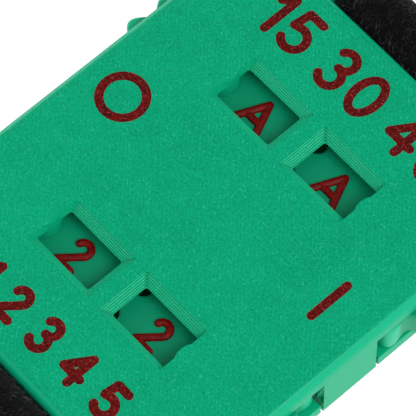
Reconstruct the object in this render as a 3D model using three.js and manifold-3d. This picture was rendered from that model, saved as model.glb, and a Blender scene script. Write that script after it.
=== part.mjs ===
// Wrist score counter: a printed case with four number wheels on a hook-and-loop strap.
// Millimetres, +Z up. The origin is the middle of the case's underside, X runs along the
// lettering and Y runs along the strap.
import * as THREE from 'three';
import { mergeVertices } from 'three/addons/utils/BufferGeometryUtils.js';
import Module from 'manifold-3d';

const wasm = await Module();
wasm.setup();

// Case
const caseWidth = 45.2;
const caseLength = 55.5;
const caseHeight = 9;
const caseCornerRadius = 6;
const topFillet = 1.2;
const layerHeight = 0.2;
const roofThickness = 1.2;
const wallThickness = 2;
const plateThickness = 1.7;
const sideBlockOverlap = 0.05;
const sideBlockDepth = 4;
const slotHeadHeight = 2.4;
const slotLengthShare = 1.4737;
const fitGap = 0.3;

// Wheels
const wheelReach = 2.25;
const wheelMiddleGap = 0.3;
const wheelEndGap = 0.5;
const lobeDepth = 1.45;
const wheelRunningGap = 0.3;
const numeralHeadroom = 0.35;
const wheelPocketClearance = 0.45;
const journalRadius = 1.9;
const journalClearance = 0.2;
const spacerRadius = 2.4;
const spacerGap = 0.2;
const clickInset = 1.9;
const clickChannelWidth = 2.6;
const clickChannelDepth = 0.8;
const clickDimpleRadius = 1.2;
const clickDimpleDepth = 0.5;

// Windows over the wheels
const ribWidth = 1.86;
const windowLength = 6.9;
const windowChamferSteps = 5;
const windowOuterInset = 0.2;
const windowCornerRadius = 0.3;
const windowAxleDistance = 2.05;

// Numerals
const wheelStrokeShare = 0.0696;
const wheelNumeralHeightShare = 0.3603;
const wheelNumeralRise = 0.45;
const pointNumeralRadiusShare = 0.5223;
const gameNumeralRadiusShare = 0.498;
const pointNumeralShift = -0.15;
const gameNumeralShift = -0.45;
const rowStrokeWidth = 1.2;
const inlayDepth = 0.6;
const inlayClearance = 0.12;
const topRowHeight = 6.1;
const topRowInset = 5.7;
const bottomRowHeight = 5;
const bottomRowInset = 5.35;
const markHeight = 6.4;
const markInset = 6.1;
const markOffsetY = 2.45;

// Screws
const screwShankRadius = 0.85;
const screwBoreRadius = 1;
const screwTipGap = 1.75;
const screwHeadRadius = 1.9;
const screwHeadHeight = 0.85;
const screwSocketWidth = 1.5;
const screwSocketDepth = 0.4;
const screwHeadClearance = 0.25;

// Click springs
const springLength = 10.7;
const springWidth = 3;
const springThickness = 0.5;
const springRootLength = 3.5;
const springNoseInset = 1.2;
const springNoseRadius = 0.85;
const springNoseTopRadius = 0.45;
const springNoseReach = 0.5;
const springTravel = 0.5;
const springSideGap = 0.3;
const springPegRadius = 0.8;
const springPegClearance = 0.2;

// Strap and its bars
const strapWidth = 20;
const strapThickness = 1.8;
const strapBarRadius = 1.1;
const strapBarHeight = 6.4;
const strapBarGap = 0.3;
const strapEarWidth = 2.6;
const strapEarRadius = 1.7;
const strapEarToeDegrees = -55;
const strapEarGap = 0.8;
const strapWallGap = 0.3;
const wristDrop = 42.5;
const wristSquarenessRatio = 2.5;
const sewnEndLength = 20;
const tailLength = 62;
const plyGap = 0.3;

// How far every cut runs past the solid
const cutOverrun = 1;

// Counts
const arcSteps = 6;
const cornerSteps = 6;
const lobeSteps = 6;
const capSteps = 3;
const roundSteps = 24;

// Sizes that follow from the ones above
const roofUnderside = caseHeight - roofThickness;
const slotTop = caseHeight - slotHeadHeight;
const wheelBottom = plateThickness + wheelRunningGap;
const wheelTop = slotTop - numeralHeadroom - wheelNumeralRise;
const screwTip = roofUnderside - screwTipGap;
const halfWidth = caseWidth / 2;
const halfLength = caseLength / 2;
const wheelSpaceX = halfWidth + wheelReach;
const wheelSpaceY = halfLength - wallThickness - wheelEndGap;
const lobeTipRadius = (Math.min(wheelSpaceX, wheelSpaceY) - wheelMiddleGap / 2) / 2;
const lobeValleyRadius = lobeTipRadius - lobeDepth;
const wheelOffsetX = wheelSpaceX - lobeTipRadius;
const wheelOffsetY = wheelSpaceY - lobeTipRadius;
const slotLength = lobeTipRadius * slotLengthShare;
const sideBlockWidth = wheelOffsetY * 2 - slotLength + sideBlockOverlap * 2;
const clickRadius = lobeValleyRadius - clickInset;
const windowWidth = wheelOffsetX - windowAxleDistance - ribWidth / 2;
const wheelStrokeWidth = lobeTipRadius * wheelStrokeShare;
const wheelNumeralHeight = lobeTipRadius * wheelNumeralHeightShare;
const pointNumeralRadius = lobeTipRadius * pointNumeralRadiusShare;
const gameNumeralRadius = lobeTipRadius * gameNumeralRadiusShare;
const slotCornerRadius = Math.hypot(slotLength / 2, halfWidth - wheelOffsetX);
const wheelPocketRadius = lobeTipRadius + wheelPocketClearance;

// What each wheel carries: the numbers in order, the one that shows, and its lobes.
// The numbers stand a little left of the line through the two axles.
const pointNumbers = {
  labels: ['0', '15', '30', '40', 'A'], shown: 4, lobes: 15, lobeDegrees: 0,
  numeralRadius: pointNumeralRadius, shift: pointNumeralShift, order: 1,
};
const gameNumbers = {
  labels: ['0', '1', '2', '3', '4', '5', '6'], shown: 2, lobes: 16,
  numeralRadius: gameNumeralRadius, shift: gameNumeralShift, order: 1,
};
const wheels = [
  { name: 'points_wheel_left', x: -wheelOffsetX, y: wheelOffsetY, ...pointNumbers },
  { name: 'points_wheel_right', x: wheelOffsetX, y: wheelOffsetY, ...pointNumbers },
  { name: 'games_wheel_left', x: -wheelOffsetX, y: -wheelOffsetY, lobeDegrees: 13, ...gameNumbers,
    order: -1 },
  { name: 'games_wheel_right', x: wheelOffsetX, y: -wheelOffsetY, lobeDegrees: -2.6, ...gameNumbers },
];

const printedGreen = { color: 0x10a876, roughness: 0.55, metalness: 0 };
const printedRed = { color: 0x8b1a1a, roughness: 0.5, metalness: 0 };
const springGrey = { color: 0xb9bcbd, roughness: 0.35, metalness: 0.8 };
const screwSteel = { color: 0x9a9c9e, roughness: 0.3, metalness: 0.9 };
const strapBlack = { color: 0x101011, roughness: 0.95, metalness: 0 };

const part = new THREE.Group();

function solidOf(geometry) {
  const bare = geometry.index ? geometry.clone() : geometry;
  for (const name of ['normal', 'uv']) bare.deleteAttribute(name);
  const merged = mergeVertices(bare);
  const mesh = new wasm.Mesh({
    numProp: 3,
    vertProperties: new Float32Array(merged.attributes.position.array),
    triVerts: new Uint32Array(merged.index.array),
  });
  mesh.merge();
  return new wasm.Manifold(mesh);
}

function unite(solids) {
  return solids.reduce((sum, solid) => sum.add(solid));
}

function addSolid(name, solid, finish, place = {}) {
  const mesh = solid.getMesh();
  const geometry = new THREE.BufferGeometry();
  geometry.setAttribute('position', new THREE.BufferAttribute(mesh.vertProperties, 3));
  geometry.setIndex(new THREE.BufferAttribute(mesh.triVerts, 1));
  geometry.computeVertexNormals();
  const piece = new THREE.Mesh(geometry, new THREE.MeshStandardMaterial(finish));
  piece.name = name;
  piece.position.set(place.x ?? 0, place.y ?? 0, place.z ?? 0);
  part.add(piece);
  return piece;
}

function box(x0, x1, y0, y1, z0, z1) {
  const geometry = new THREE.BoxGeometry(x1 - x0, y1 - y0, z1 - z0);
  geometry.translate((x0 + x1) / 2, (y0 + y1) / 2, (z0 + z1) / 2);
  return solidOf(geometry);
}

function cylinder(x, y, radius, z0, z1, topRadius = radius, steps = roundSteps) {
  const geometry = new THREE.CylinderGeometry(topRadius, radius, z1 - z0, steps);
  geometry.rotateX(Math.PI / 2);
  geometry.translate(x, y, (z0 + z1) / 2);
  return solidOf(geometry);
}

function extrude(shape, z0, z1) {
  const geometry = new THREE.ExtrudeGeometry(shape, { depth: z1 - z0, bevelEnabled: false });
  geometry.translate(0, 0, z0);
  return solidOf(geometry);
}

// Corners of a rectangle with rounded corners, counter-clockwise
function roundedRectangle(x0, x1, y0, y1, radius, steps = cornerSteps) {
  const corners = [[x1, y1, 0], [x0, y1, 1], [x0, y0, 2], [x1, y0, 3]];
  return corners.flatMap(([x, y, quarter]) => {
    const cx = x - Math.sign(x - (x0 + x1) / 2) * radius;
    const cy = y - Math.sign(y - (y0 + y1) / 2) * radius;
    return Array.from({ length: steps + 1 }, (_, i) => {
      const angle = (quarter + i / steps) * Math.PI / 2;
      return new THREE.Vector2(cx + radius * Math.cos(angle), cy + radius * Math.sin(angle));
    });
  });
}

// A closed skin over level rings of equal length, bottom first
function loft(rings) {
  const count = rings[0].points.length;
  const positions = rings.flatMap(({ points, z }) => points.flatMap((p) => [p.x, p.y, z]));
  const index = [];
  for (let level = 0; level + 1 < rings.length; level++) {
    for (let i = 0; i < count; i++) {
      const a = level * count + i;
      const b = level * count + (i + 1) % count;
      index.push(a, b, b + count, a, b + count, a + count);
    }
  }
  const cap = THREE.ShapeUtils.triangulateShape(rings[0].points, []);
  const top = (rings.length - 1) * count;
  for (const [a, b, c] of cap) index.push(a, c, b, top + a, top + b, top + c);
  const geometry = new THREE.BufferGeometry();
  geometry.setAttribute('position', new THREE.Float32BufferAttribute(positions, 3));
  geometry.setIndex(index);
  return solidOf(geometry);
}

// The case's outline as a block with its upper edge rounded
function caseBlock(z0, z1, fillet) {
  const ring = (inset, z) => ({
    points: roundedRectangle(-halfWidth + inset, halfWidth - inset, -halfLength + inset,
      halfLength - inset, caseCornerRadius - inset),
    z,
  });
  const rings = [ring(0, z0)];
  for (let i = 0; i <= arcSteps; i++) {
    const angle = i / arcSteps * Math.PI / 2;
    rings.push(ring(fillet * (1 - Math.cos(angle)), z1 - fillet * (1 - Math.sin(angle))));
  }
  return loft(fillet > 0 ? rings : [ring(0, z0), ring(0, z1)]);
}

// Outline of a stroke of even width along a line of points, with round ends and corners
function strokeOutline(line, half) {
  const normals = line.slice(1).map((p, i) => {
    const along = p.clone().sub(line[i]).normalize();
    return new THREE.Vector2(-along.y, along.x);
  });
  const fan = (centre, from, turn, steps) => Array.from({ length: steps + 1 }, (_, i) => {
    const angle = from + turn * i / steps;
    return centre.clone().add(new THREE.Vector2(Math.cos(angle), Math.sin(angle)).multiplyScalar(half));
  });
  const side = (sign) => line.slice(1, -1).flatMap((p, i) => {
    const before = normals[i].clone().multiplyScalar(sign);
    const after = normals[i + 1].clone().multiplyScalar(sign);
    const turn = Math.atan2(before.cross(after), before.dot(after));
    const outside = sign * turn < 0;
    if (outside && Math.abs(turn) > Math.PI / 5) return fan(p, before.angle(), turn, capSteps);
    const mean = before.clone().add(after).normalize();
    return [p.clone().add(mean.multiplyScalar(half / mean.dot(after)))];
  });
  const last = normals.length - 1;
  const end = fan(line[line.length - 1], normals[last].angle(), -Math.PI, capSteps);
  const start = fan(line[0], normals[0].angle() + Math.PI, -Math.PI, capSteps);
  return [...side(1), ...end, ...side(-1).reverse(), ...start];
}

function strokeSolid(stroke, half, z0, z1) {
  if (!stroke.ring) return extrude(new THREE.Shape(strokeOutline(stroke.line, half).reverse()), z0, z1);
  const { centre, radii } = stroke.ring;
  const shape = new THREE.Shape();
  shape.absellipse(centre.x, centre.y, radii.x + half, radii.y + half, 0, Math.PI * 2, false);
  const hole = new THREE.Path();
  hole.absellipse(centre.x, centre.y, radii.x - half, radii.y - half, 0, Math.PI * 2, true);
  shape.holes.push(hole);
  const geometry = new THREE.ExtrudeGeometry(shape, {
    depth: z1 - z0, bevelEnabled: false, curveSegments: roundSteps / 3,
  });
  geometry.translate(0, 0, z0);
  return solidOf(geometry);
}

// Centre lines of the characters, as shares of the height between their outer centre lines
const glyphShares = {
  0: { width: 0.6, rings: [[0.3, 0.5, 0.3, 0.5]] },
  1: { width: 0.26, lines: [[[0, 0.78], [0.26, 1], [0.26, 0]]] },
  2: { width: 0.6, lines: [[['arc', 0.335, 0.76, 0.24, 165, -40], [0, 0], [0.6, 0]]] },
  3: {
    width: 0.56,
    lines: [[['arc', 0.28, 0.76, 0.24, 150, -90]], [['arc', 0.27, 0.26, 0.27, 90, -150]]],
  },
  4: { width: 0.64, lines: [[[0.46, 0], [0.46, 1], [0, 0.3]], [[0, 0.3], [0.64, 0.3]]] },
  5: { width: 0.58, lines: [[[0.52, 1], [0.1, 1], [0.04, 0.55], ['arc', 0.28, 0.31, 0.3, 115, -145]]] },
  6: {
    width: 0.6,
    rings: [[0.3, 0.29, 0.3, 0.29]],
    lines: [[[0.5, 1], [0.22, 0.76], [0.05, 0.48], [0, 0.3]]],
  },
  A: { width: 0.9, lines: [[[0, 0], [0.45, 1], [0.9, 0]], [[0.14, 0.31], [0.76, 0.31]]] },
};
const glyphGapShare = 0.09;
const wordGapShare = 0.33;
const glyphArcSteps = 7;

// One character as a solid, its centre line standing on the origin
function glyphSolid(character, lettering, grow, z0, z1) {
  const glyph = glyphShares[character];
  const rise = lettering.height - lettering.stroke;
  const strokes = (glyph.lines ?? []).map((steps) => ({
    line: steps.flatMap((step) => {
      if (step[0] !== 'arc') return [new THREE.Vector2(step[0] * rise, step[1] * rise)];
      const [x, y, radius, from, to] = step.slice(1);
      return Array.from({ length: glyphArcSteps + 1 }, (_, i) => {
        const angle = THREE.MathUtils.degToRad(from + (to - from) * i / glyphArcSteps);
        return new THREE.Vector2(x + radius * Math.cos(angle), y + radius * Math.sin(angle))
          .multiplyScalar(rise);
      });
    }),
  }));
  for (const [x, y, rx, ry] of glyph.rings ?? []) {
    const centre = new THREE.Vector2(x, y).multiplyScalar(rise);
    strokes.push({ ring: { centre, radii: new THREE.Vector2(rx, ry).multiplyScalar(rise) } });
  }
  return unite(strokes.map((stroke) => strokeSolid(stroke, lettering.stroke / 2 + grow, z0, z1)));
}

// A row of characters, one solid each, centred on the origin
function rowSolids(text, lettering, grow, z0, z1) {
  const { height, stroke } = lettering;
  const rise = height - stroke;
  const gap = stroke + glyphGapShare * height;
  let pen = 0;
  const placed = [];
  for (const character of text) {
    if (character === ' ') {
      pen += (wordGapShare - glyphGapShare) * height;
      continue;
    }
    placed.push(glyphSolid(character, lettering, grow, z0, z1).translate([pen, -rise / 2, 0]));
    pen += glyphShares[character].width * rise + gap;
  }
  return placed.map((solid) => solid.translate([-(pen - gap) / 2, 0, 0]));
}

// Window over a wheel, stepped in layers; side is -1 on the left and 1 on the right.
// The boss that spaces the wheel stands a little way into the window's outer side
function windowCut(wheel, side) {
  const cuts = [];
  const level = (inset, outerInset, z0, z1) => {
    const inner = side * (ribWidth / 2 + inset);
    const outer = side * (ribWidth / 2 + windowWidth - outerInset);
    const points = roundedRectangle(Math.min(inner, outer), Math.max(inner, outer),
      wheel.y - windowLength / 2 + inset, wheel.y + windowLength / 2 - inset, windowCornerRadius, 2);
    const opening = extrude(new THREE.Shape(points), z0, z1);
    return opening.subtract(cylinder(wheel.x, wheel.y, spacerRadius, z0 - cutOverrun, z1 + cutOverrun));
  };
  for (let step = 0; step < windowChamferSteps; step++) {
    const share = step / windowChamferSteps;
    const inset = step * layerHeight;
    const top = caseHeight - inset;
    cuts.push(level(inset, windowOuterInset * share, top - layerHeight, step ? top : top + cutOverrun));
  }
  const depth = windowChamferSteps * layerHeight;
  cuts.push(level(depth, windowOuterInset, roofUnderside - cutOverrun, caseHeight - depth));
  return unite(cuts);
}

// Red characters let into the case top
const inlays = [
  { name: 'top_row_numeral', text: '15 30 40', height: topRowHeight, y: halfLength - topRowInset },
  { name: 'bottom_row_numeral', text: '1 2 3 4 5', height: bottomRowHeight, y: bottomRowInset - halfLength },
];
const marks = [
  { name: 'ring_mark', x: markInset - halfWidth, ring: { centre: new THREE.Vector2(), radii: markRadii() } },
  { name: 'bar_mark', x: halfWidth - markInset, line: barLine() },
];

function markRadii() {
  const reach = (markHeight - rowStrokeWidth) / 2;
  return new THREE.Vector2(reach, reach);
}

function barLine() {
  const reach = (markHeight - rowStrokeWidth) / 2;
  return [new THREE.Vector2(0, -reach), new THREE.Vector2(0, reach)];
}

function inlaySolids(inlay, clearance, z1) {
  const floor = caseHeight - inlayDepth;
  const lettering = { height: inlay.height, stroke: rowStrokeWidth };
  const row = rowSolids(inlay.text, lettering, clearance, floor, z1);
  return row.map((solid) => solid.translate([0, inlay.y, 0]));
}

function markSolid(mark, clearance, z1) {
  const floor = caseHeight - inlayDepth;
  return strokeSolid(mark, rowStrokeWidth / 2 + clearance, floor, z1).translate([mark.x, markOffsetY, 0]);
}

// Side block between the two slots, narrowed by the round wheel pockets
function sideBlock(side, grow) {
  const inner = halfWidth - sideBlockDepth - grow;
  const outer = halfWidth + (grow ? cutOverrun : 0);
  const reach = sideBlockWidth / 2 + grow;
  const x0 = side > 0 ? inner : -outer;
  const x1 = side > 0 ? outer : -inner;
  return { x0, x1, reach };
}

function topCover() {
  const shell = caseBlock(plateThickness, caseHeight, topFillet);
  const cavityX = halfWidth - wallThickness;
  const cavityY = halfLength - wallThickness;
  const cavity = extrude(new THREE.Shape(roundedRectangle(-cavityX, cavityX, -cavityY, cavityY,
    caseCornerRadius - wallThickness)), plateThickness - cutOverrun, roofUnderside);
  let cover = shell.subtract(cavity);
  for (const wheel of wheels) {
    cover = cover.subtract(cylinder(wheel.x, wheel.y, wheelPocketRadius, plateThickness - cutOverrun,
      slotTop, wheelPocketRadius, roundSteps * 2));
  }
  for (const side of [-1, 1]) {
    const { x0, x1, reach } = sideBlock(side, 0);
    const pockets = wheels.filter((w) => w.x * side > 0).map((w) => cylinder(w.x, w.y, slotCornerRadius,
      plateThickness, slotTop, slotCornerRadius, roundSteps * 2));
    const block = box(x0, x1, -reach, reach, 0, caseHeight - topFillet);
    cover = cover.add(unite([block]).subtract(unite(pockets)));
    for (const end of [-1, 1]) {
      const y0 = end * wheelOffsetY - slotLength / 2;
      cover = cover.subtract(box(side > 0 ? halfWidth - wallThickness : -halfWidth - cutOverrun,
        side > 0 ? halfWidth + cutOverrun : -halfWidth + wallThickness,
        y0, y0 + slotLength, plateThickness - cutOverrun, slotTop));
    }
  }
  for (const wheel of wheels) {
    cover = cover.add(cylinder(wheel.x, wheel.y, spacerRadius, wheelTop + spacerGap, roofUnderside));
    cover = cover.add(cylinder(wheel.x, wheel.y, journalRadius, plateThickness, roofUnderside));
    cover = cover.subtract(windowCut(wheel, Math.sign(wheel.x)));
    cover = cover.subtract(cylinder(wheel.x, wheel.y, screwBoreRadius, plateThickness - cutOverrun,
      screwTip + fitGap));
  }
  for (const inlay of inlays) {
    cover = cover.subtract(unite(inlaySolids(inlay, inlayClearance, caseHeight + cutOverrun)));
  }
  for (const mark of marks) cover = cover.subtract(markSolid(mark, inlayClearance, caseHeight + cutOverrun));
  return cover;
}

// Places of a click spring below a wheel: nose under the wheel, root towards the middle
function springPlace(wheel) {
  const side = Math.sign(wheel.x);
  const end = Math.sign(wheel.y);
  const noseX = wheel.x;
  const tipX = noseX + side * springNoseInset;
  const rootX = tipX - side * springLength;
  const stepX = rootX + side * springRootLength;
  return { side, noseX, tipX, rootX, stepX, y: wheel.y - end * clickRadius };
}

function spanBox(xa, xb, y, halfY, z0, z1) {
  return box(Math.min(xa, xb), Math.max(xa, xb), y - halfY, y + halfY, z0, z1);
}

function basePlate() {
  let plate = caseBlock(0, plateThickness, 0);
  for (const side of [-1, 1]) {
    const { x0, x1, reach } = sideBlock(side, fitGap);
    plate = plate.subtract(box(x0, x1, -reach, reach, -cutOverrun, plateThickness + cutOverrun));
  }
  for (const wheel of wheels) {
    plate = plate.subtract(cylinder(wheel.x, wheel.y, screwHeadRadius + screwHeadClearance,
      -cutOverrun, screwHeadHeight));
    plate = plate.subtract(cylinder(wheel.x, wheel.y, screwBoreRadius, 0, plateThickness + cutOverrun));
    const place = springPlace(wheel);
    const halfY = springWidth / 2 + springSideGap;
    const bedStart = place.rootX - place.side * springSideGap;
    const bedEnd = place.tipX + place.side * springSideGap;
    const springFloor = plateThickness - springThickness - layerHeight / 2;
    plate = plate.subtract(spanBox(bedStart, bedEnd, place.y, halfY, springFloor,
      plateThickness + cutOverrun));
    plate = plate.subtract(spanBox(place.stepX, bedEnd, place.y, halfY, springFloor - springTravel,
      plateThickness + cutOverrun));
    plate = plate.add(cylinder((place.rootX + place.stepX) / 2, place.y, springPegRadius,
      springFloor - layerHeight, springFloor + springThickness, springPegRadius, roundSteps / 2));
  }
  return unite([plate, ...[-1, 1].map(strapLugs)]);
}

const strapWrapRadius = strapBarRadius + strapBarGap + strapThickness / 2;
const strapBarY = halfLength + strapWallGap + strapWrapRadius + strapThickness / 2;

// Two ears and the strap bar at one end of the base plate
function strapLugs(end) {
  const ear = (x0) => {
    const shape = new THREE.Shape();
    const root = halfLength - topFillet;
    const toe = THREE.MathUtils.degToRad(strapEarToeDegrees);
    shape.moveTo(root, 0);
    shape.lineTo(halfLength + strapWallGap, 0);
    shape.absarc(strapBarY, strapBarHeight, strapEarRadius, toe, Math.PI / 2, false);
    shape.lineTo(halfLength + strapWallGap, strapBarHeight + strapEarRadius);
    shape.lineTo(halfLength + strapWallGap, plateThickness);
    shape.lineTo(root, plateThickness);
    const geometry = new THREE.ExtrudeGeometry(shape, {
      depth: strapEarWidth, bevelEnabled: false, curveSegments: arcSteps,
    });
    geometry.rotateX(Math.PI / 2);
    geometry.rotateZ(Math.PI / 2);
    geometry.translate(x0, 0, 0);
    return solidOf(geometry);
  };
  const inner = strapWidth / 2 + strapEarGap;
  const barLength = inner * 2 + strapEarWidth;
  const bar = new THREE.CylinderGeometry(strapBarRadius, strapBarRadius, barLength, roundSteps / 2);
  bar.rotateZ(Math.PI / 2);
  bar.translate(0, strapBarY, strapBarHeight);
  const lugs = unite([ear(inner), ear(-inner - strapEarWidth), solidOf(bar)]);
  return end > 0 ? lugs : lugs.rotate([0, 0, 180]);
}

// Scalloped outline of a wheel, a lobe at the starting angle
function wheelOutline(lobes, start) {
  const middle = (lobeTipRadius + lobeValleyRadius) / 2;
  const swing = (lobeTipRadius - lobeValleyRadius) / 2;
  const count = lobes * lobeSteps;
  return Array.from({ length: count }, (_, i) => {
    const angle = i / count * Math.PI * 2;
    const radius = middle + swing * Math.cos(angle * lobes);
    return new THREE.Vector2(radius * Math.cos(angle + start), radius * Math.sin(angle + start));
  });
}

// A wheel about its own axis, its first lobe near the window
function wheelSolid(wheel) {
  const start = (wheel.x > 0 ? Math.PI : 0) + THREE.MathUtils.degToRad(wheel.lobeDegrees);
  const shape = new THREE.Shape(wheelOutline(wheel.lobes, start));
  let body = extrude(shape, wheelBottom, wheelTop);
  body = body.subtract(cylinder(0, 0, journalRadius + journalClearance, 0, caseHeight));
  const channel = cylinder(0, 0, clickRadius + clickChannelWidth / 2, 0, wheelBottom + clickChannelDepth)
    .subtract(cylinder(0, 0, clickRadius - clickChannelWidth / 2, -cutOverrun, caseHeight));
  body = body.subtract(channel);
  const noseAngle = -Math.sign(wheel.y) * Math.PI / 2;
  for (let i = 0; i < wheel.labels.length; i++) {
    const angle = noseAngle + i / wheel.labels.length * Math.PI * 2;
    const dimple = cylinder(clickRadius, 0, clickDimpleRadius, 0,
      wheelBottom + clickChannelDepth + clickDimpleDepth, clickDimpleRadius, roundSteps / 3);
    body = body.subtract(dimple.rotate([0, 0, THREE.MathUtils.radToDeg(angle)]));
  }
  return body;
}

// Raised characters of a wheel, each number upright when it reaches the window.
// Order -1 sets the numbers out the other way round.
function addWheelNumerals(wheel) {
  const step = 360 / wheel.labels.length * wheel.order;
  const place = wheel.shift - Math.sign(wheel.x) * wheel.numeralRadius;
  const lettering = { height: wheelNumeralHeight, stroke: wheelStrokeWidth };
  wheel.labels.forEach((label, i) => {
    const row = rowSolids(label, lettering, 0, wheelTop, wheelTop + wheelNumeralRise);
    row.forEach((solid, digit) => {
      const turned = solid.translate([place, 0, 0]).rotate([0, 0, (i - wheel.shown) * step]);
      const suffix = row.length > 1 ? `_${digit + 1}` : '';
      addSolid(`${wheel.name}_numeral_${label}${suffix}`, turned, printedRed, wheel);
    });
  });
}

function screwSolid() {
  const socketRadius = screwSocketWidth / 2;
  const socket = cylinder(0, 0, socketRadius, -cutOverrun, screwSocketDepth, socketRadius, 6);
  return cylinder(0, 0, screwHeadRadius, 0, screwHeadHeight)
    .add(cylinder(0, 0, screwShankRadius, screwHeadHeight / 2, screwTip, screwShankRadius, roundSteps / 2))
    .subtract(socket);
}

// A flat spring with a pegged root and a rounded nose that rides in the wheel's channel
function clickSpring(wheel) {
  const place = springPlace(wheel);
  const floor = plateThickness - springThickness - layerHeight / 2;
  const top = floor + springThickness;
  const strip = spanBox(place.rootX, place.tipX, place.y, springWidth / 2, floor, top);
  const nose = cylinder(place.noseX, place.y, springNoseRadius, floor, wheelBottom + springNoseReach,
    springNoseTopRadius, roundSteps / 2);
  const hole = cylinder((place.rootX + place.stepX) / 2, place.y, springPegRadius + springPegClearance,
    floor - cutOverrun, top + cutOverrun, springPegRadius + springPegClearance, roundSteps / 2);
  return strip.add(nose).subtract(hole);
}

// Centre line of the wrist ply from the middle of its bottom up to a strap bar, seen along X:
// a squared ellipse below, straight beside the bar
function wristCurve(steps, offset) {
  const reach = strapBarY - strapWrapRadius;
  return Array.from({ length: steps + 1 }, (_, i) => {
    const angle = i / steps * Math.PI / 2;
    const y = reach * Math.sin(angle) ** (2 / wristSquarenessRatio);
    const z = strapBarHeight - wristDrop * Math.cos(angle) ** (2 / wristSquarenessRatio);
    return new THREE.Vector2(y, z);
  }).map((p, i, all) => {
    if (!offset) return p;
    const along = all[Math.min(i + 1, steps)].clone().sub(all[Math.max(i - 1, 0)]).normalize();
    return p.clone().add(new THREE.Vector2(along.y, -along.x).multiplyScalar(offset));
  });
}

const wristSteps = 16;
const wrapSteps = 8;

// The outer ply of an end: over the bar, then down outside the wrist ply for a given length
function outerPly(length, gap) {
  const wrap = Array.from({ length: wrapSteps + 1 }, (_, i) => {
    const angle = Math.PI * (1 - i / wrapSteps);
    return new THREE.Vector2(strapBarY + strapWrapRadius * Math.cos(angle),
      strapBarHeight + strapWrapRadius * Math.sin(angle));
  });
  const follow = wristCurve(wristSteps * 2, strapThickness + gap).reverse();
  const line = [...wrap];
  let left = length;
  for (const p of follow.slice(2)) {
    const last = line[line.length - 1];
    const ease = Math.min(1, (strapBarHeight - p.y) / (strapWrapRadius * 4));
    const wide = 2 * strapWrapRadius - strapThickness - gap;
    const next = new THREE.Vector2(p.x + wide * (1 - ease) ** 2, p.y);
    const stride = next.distanceTo(last);
    if (stride >= left) {
      line.push(last.clone().lerp(next, left / stride));
      break;
    }
    line.push(next);
    left -= stride;
  }
  return line;
}

function mirrorY(line) {
  return line.map((p) => new THREE.Vector2(-p.x, p.y));
}

// A band of even thickness along a line in the YZ plane
function bandSolid(line, thickness, width) {
  const normals = line.map((_, i) => {
    const along = line[Math.min(i + 1, line.length - 1)].clone().sub(line[Math.max(i - 1, 0)]).normalize();
    return new THREE.Vector2(-along.y, along.x).multiplyScalar(thickness / 2);
  });
  const left = line.map((p, i) => p.clone().add(normals[i]));
  const right = line.map((p, i) => p.clone().sub(normals[i])).reverse();
  const geometry = new THREE.ExtrudeGeometry(new THREE.Shape([...left, ...right]), {
    depth: width, bevelEnabled: false,
  });
  geometry.rotateX(Math.PI / 2);
  geometry.rotateZ(Math.PI / 2);
  geometry.translate(-width / 2, 0, 0);
  return solidOf(geometry);
}

function strapLine() {
  const rightSide = wristCurve(wristSteps, 0);
  const leftSide = mirrorY(rightSide.slice(1)).reverse();
  const sewn = mirrorY(outerPly(sewnEndLength, plyGap)).reverse();
  const tail = outerPly(tailLength, plyGap);
  return [...sewn.slice(0, -1), ...leftSide, ...rightSide, ...tail.slice(1)];
}

addSolid('top_cover', topCover(), printedGreen);
addSolid('base_plate', basePlate(), printedGreen);
for (const wheel of wheels) {
  addSolid(wheel.name, wheelSolid(wheel), printedGreen, wheel);
  addWheelNumerals(wheel);
  addSolid(wheel.name.replace('wheel', 'click_spring'), clickSpring(wheel), springGrey);
  addSolid(wheel.name.replace('wheel', 'screw'), screwSolid(), screwSteel, wheel);
}
for (const inlay of inlays) {
  inlaySolids(inlay, 0, caseHeight).forEach((solid, i) => {
    addSolid(`${inlay.name}_${i + 1}`, solid, printedRed);
  });
}
for (const mark of marks) addSolid(mark.name, markSolid(mark, 0, caseHeight), printedRed);
addSolid('strap', bandSolid(strapLine(), strapThickness, strapWidth), strapBlack);

export default part;
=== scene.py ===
import math

import bmesh
import bpy
import numpy as np
from mathutils import Matrix, Vector


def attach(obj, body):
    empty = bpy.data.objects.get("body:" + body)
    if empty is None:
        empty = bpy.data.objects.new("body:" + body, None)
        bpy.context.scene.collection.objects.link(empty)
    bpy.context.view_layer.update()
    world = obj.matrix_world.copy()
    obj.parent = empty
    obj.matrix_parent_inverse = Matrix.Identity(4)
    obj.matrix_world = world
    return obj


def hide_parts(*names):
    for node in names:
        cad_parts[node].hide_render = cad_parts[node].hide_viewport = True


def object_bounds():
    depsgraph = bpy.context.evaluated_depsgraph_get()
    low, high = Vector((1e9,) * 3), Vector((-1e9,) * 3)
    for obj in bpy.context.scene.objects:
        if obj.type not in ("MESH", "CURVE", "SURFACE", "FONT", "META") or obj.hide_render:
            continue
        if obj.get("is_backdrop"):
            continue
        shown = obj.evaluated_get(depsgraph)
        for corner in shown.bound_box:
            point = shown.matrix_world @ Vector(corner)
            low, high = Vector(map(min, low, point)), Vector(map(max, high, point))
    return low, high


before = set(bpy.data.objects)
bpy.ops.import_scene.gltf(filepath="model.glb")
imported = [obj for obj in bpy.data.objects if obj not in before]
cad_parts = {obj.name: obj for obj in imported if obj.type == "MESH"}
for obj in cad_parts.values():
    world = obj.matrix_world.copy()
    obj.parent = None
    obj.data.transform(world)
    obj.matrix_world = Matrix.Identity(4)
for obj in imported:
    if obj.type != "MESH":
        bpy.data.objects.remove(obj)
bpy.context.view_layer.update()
mm = 0.001
print("frame loaded:", len(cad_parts), "nodes")

scene = bpy.context.scene
scene.view_settings.view_transform = "Standard"

# Camera
photoCamera = {
    "azimuth": 48.817, "elevation": 63.487, "roll": -0.9,  # degrees
    "target": (-0.258, 0.284, 9.0),  # the point of the case top in the picture's middle, mm
    "distance": 418.1,  # mm
    "pixelsPerMm": 9.3526, "pictureWidth": 416,
    "sensorWidth": 36, "clipEnd": 20,  # mm, m
}


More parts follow.
